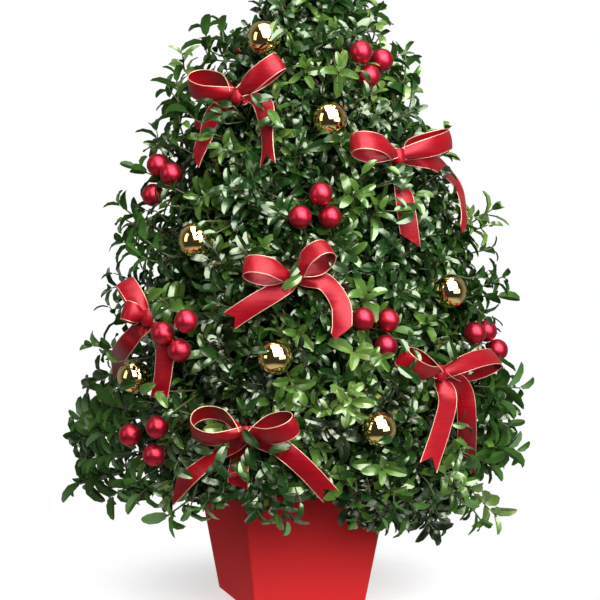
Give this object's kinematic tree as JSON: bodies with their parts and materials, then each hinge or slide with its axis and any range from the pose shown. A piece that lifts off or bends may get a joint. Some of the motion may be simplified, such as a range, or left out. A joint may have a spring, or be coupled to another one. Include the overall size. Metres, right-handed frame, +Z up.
{
  "type": "potted boxwood christmas tree",
  "caption": "Cone-shaped boxwood evergreen in a square tapered red pot, dressed as a small tabletop Christmas tree.",
  "frame": {"origin": "middle of the pot's flat underside, on the surface it stands on", "axes": "+Z up; the pot's front face looks along -Y, and +X is to the right of someone who looks at it"},
  "size_m": [0.327, 0.3435, 0.5353],
  "materials": {
    "pot": "satin red glaze",
    "potting_mix": "matte crumbly fibre",
    "bark": "rough grey-brown bark",
    "leaves": "leathery leaves with a soft gloss",
    "ribbon": "red satin with a fine pale wired edge",
    "gold_balls": "mirror-bright pale gold",
    "red_balls": "satin metallic red"
  },
  "bodies": {
    "root": {"pot": "pot", "potting_mix": "potting_mix", "trunk": "bark", "bough_low_1": "bark", "bough_low_2": "bark", "bough_low_3": "bark", "bough_low_4": "bark", "bough_low_5": "bark", "bough_low_6": "bark", "bough_mid_1": "bark", "bough_mid_2": "bark", "bough_mid_3": "bark", "bough_mid_4": "bark", "bough_mid_5": "bark", "bough_mid_6": "bark", "bough_high_1": "bark", "bough_high_2": "bark", "bough_high_3": "bark", "bough_high_4": "bark", "foliage_low_1": "leaves", "foliage_low_2": "leaves", "foliage_low_3": "leaves", "foliage_low_4": "leaves", "foliage_low_5": "leaves", "foliage_low_6": "leaves", "foliage_mid_1": "leaves", "foliage_mid_2": "leaves", "foliage_mid_3": "leaves", "foliage_mid_4": "leaves", "foliage_mid_5": "leaves", "foliage_mid_6": "leaves", "foliage_high_1": "leaves", "foliage_high_2": "leaves", "foliage_high_3": "leaves", "foliage_high_4": "leaves", "foliage_top": "leaves"}
  },
  "joints": []
}
